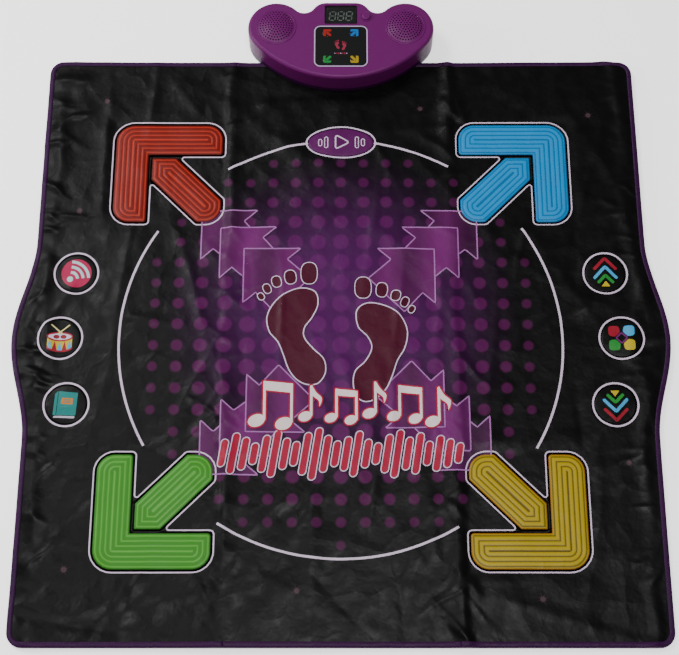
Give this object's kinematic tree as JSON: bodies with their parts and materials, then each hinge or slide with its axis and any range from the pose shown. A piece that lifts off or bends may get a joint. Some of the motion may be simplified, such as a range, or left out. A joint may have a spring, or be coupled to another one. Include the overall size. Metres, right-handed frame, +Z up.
{
  "type": "dance rhythm machine",
  "caption": "Folding square dance game mat with raised arrow touch pads and a small battery console clamped to its back edge.",
  "frame": {"origin": "on the floor under the middle of the whole object's bounding box", "axes": "+Z up, +Y towards the console, +X to the right of a player facing the console"},
  "size_m": [0.94, 0.967, 0.0545],
  "materials": {
    "coated_fabric": "semi-gloss",
    "switch_film": "satin",
    "foam": "matte",
    "backing": "matte",
    "purple_tape": "satin",
    "red_pad": "semi-gloss",
    "blue_pad": "semi-gloss",
    "green_pad": "semi-gloss",
    "yellow_pad": "semi-gloss",
    "red_lens": "gloss",
    "blue_lens": "gloss",
    "green_lens": "gloss",
    "yellow_lens": "gloss",
    "purple_pad": "semi-gloss",
    "purple_plastic": "satin gloss",
    "dark_purple_plastic": "satin",
    "clear_window": "gloss",
    "display": "satin",
    "overlay_film": "satin",
    "circuit_board": "satin",
    "component": "matte",
    "cell": "gloss",
    "contact": "satin",
    "steel": "satin",
    "rubber": "matte",
    "cone_paper": "matte"
  },
  "bodies": {
    "mat_and_console": {"centre_cover": "coated_fabric", "centre_upper_film": "switch_film", "centre_foam_spacer": "foam", "centre_lower_film": "switch_film", "centre_backing": "backing", "centre_binding": "purple_tape", "top_shell": "purple_plastic", "base_shell": "dark_purple_plastic", "display_window": "clear_window", "display_module": "display", "control_overlay": "overlay_film", "main_board": "circuit_board", "board_components": "component", "battery_cells": "cell", "battery_contacts": "contact", "clamp_plate": "steel", "screws": "steel", "rubber_feet": "rubber", "film_tail": "switch_film", "red_indicator": "red_lens", "blue_indicator": "blue_lens", "green_indicator": "green_lens", "yellow_indicator": "yellow_lens", "left_speaker_grille": "purple_plastic", "left_speaker_frame": "steel", "left_speaker_cone": "cone_paper", "right_speaker_grille": "purple_plastic", "right_speaker_frame": "steel", "right_speaker_cone": "cone_paper"},
    "left_panel": {"left_cover": "coated_fabric", "left_upper_film": "switch_film", "left_foam_spacer": "foam", "left_lower_film": "switch_film", "left_backing": "backing", "left_binding": "purple_tape"},
    "right_panel": {"right_cover": "coated_fabric", "right_upper_film": "switch_film", "right_foam_spacer": "foam", "right_lower_film": "switch_film", "right_backing": "backing", "right_binding": "purple_tape"},
    "red_arrow_pad": {"red_arrow_head": "red_pad", "red_arrow_shaft": "red_pad"},
    "blue_arrow_pad": {"blue_arrow_head": "blue_pad", "blue_arrow_shaft": "blue_pad"},
    "green_arrow_pad": {"green_arrow_head": "green_pad", "green_arrow_shaft": "green_pad"},
    "yellow_arrow_pad": {"yellow_arrow_head": "yellow_pad", "yellow_arrow_shaft": "yellow_pad"},
    "start_pad": {"start_pad": "purple_pad"},
    "left_back_icon": {"left_back_icon_pad": "coated_fabric"},
    "left_middle_icon": {"left_middle_icon_pad": "coated_fabric"},
    "left_front_icon": {"left_front_icon_pad": "coated_fabric"},
    "right_back_icon": {"right_back_icon_pad": "coated_fabric"},
    "right_middle_icon": {"right_middle_icon_pad": "coated_fabric"},
    "right_front_icon": {"right_front_icon_pad": "coated_fabric"},
    "power_button": {"power_button": "purple_plastic"},
    "battery_cover": {"battery_cover": "dark_purple_plastic"}
  },
  "joints": [
    {"name": "left_fold", "type": "hinge", "parent": "mat_and_console", "child": "left_panel", "pos_m": [-0.168, 0, 0.007], "axis": [0, 1, 0], "range_deg": [0, 120]},
    {"name": "right_fold", "type": "hinge", "parent": "mat_and_console", "child": "right_panel", "pos_m": [0.168, 0, 0.007], "axis": [0, -1, 0], "range_deg": [0, 120]},
    {"name": "red_arrow_press", "type": "slide", "parent": "left_panel", "child": "red_arrow_pad", "axis": [0, 0, -1], "range_m": [0, 0.0024], "stiffness_N_per_m": 4000},
    {"name": "blue_arrow_press", "type": "slide", "parent": "right_panel", "child": "blue_arrow_pad", "axis": [0, 0, -1], "range_m": [0, 0.0024], "stiffness_N_per_m": 4000},
    {"name": "green_arrow_press", "type": "slide", "parent": "left_panel", "child": "green_arrow_pad", "axis": [0, 0, -1], "range_m": [0, 0.0024], "stiffness_N_per_m": 4000},
    {"name": "yellow_arrow_press", "type": "slide", "parent": "right_panel", "child": "yellow_arrow_pad", "axis": [0, 0, -1], "range_m": [0, 0.0024], "stiffness_N_per_m": 4000},
    {"name": "start_press", "type": "slide", "parent": "mat_and_console", "child": "start_pad", "axis": [0, 0, -1], "range_m": [0, 0.0024], "stiffness_N_per_m": 2000},
    {"name": "left_back_icon_press", "type": "slide", "parent": "left_panel", "child": "left_back_icon", "axis": [0, 0, -1], "range_m": [0, 0.0024], "stiffness_N_per_m": 2000},
    {"name": "left_middle_icon_press", "type": "slide", "parent": "left_panel", "child": "left_middle_icon", "axis": [0, 0, -1], "range_m": [0, 0.0024], "stiffness_N_per_m": 2000},
    {"name": "left_front_icon_press", "type": "slide", "parent": "left_panel", "child": "left_front_icon", "axis": [0, 0, -1], "range_m": [0, 0.0024], "stiffness_N_per_m": 2000},
    {"name": "right_back_icon_press", "type": "slide", "parent": "right_panel", "child": "right_back_icon", "axis": [0, 0, -1], "range_m": [0, 0.0024], "stiffness_N_per_m": 2000},
    {"name": "right_middle_icon_press", "type": "slide", "parent": "right_panel", "child": "right_middle_icon", "axis": [0, 0, -1], "range_m": [0, 0.0024], "stiffness_N_per_m": 2000},
    {"name": "right_front_icon_press", "type": "slide", "parent": "right_panel", "child": "right_front_icon", "axis": [0, 0, -1], "range_m": [0, 0.0024], "stiffness_N_per_m": 2000},
    {"name": "power_press", "type": "slide", "parent": "mat_and_console", "child": "power_button", "axis": [0, 0, -1], "range_m": [0, 0.0012], "stiffness_N_per_m": 900},
    {"name": "battery_cover_slide", "type": "slide", "parent": "mat_and_console", "child": "battery_cover", "axis": [0, 1, 0], "range_m": [0, 0.08]}
  ]
}
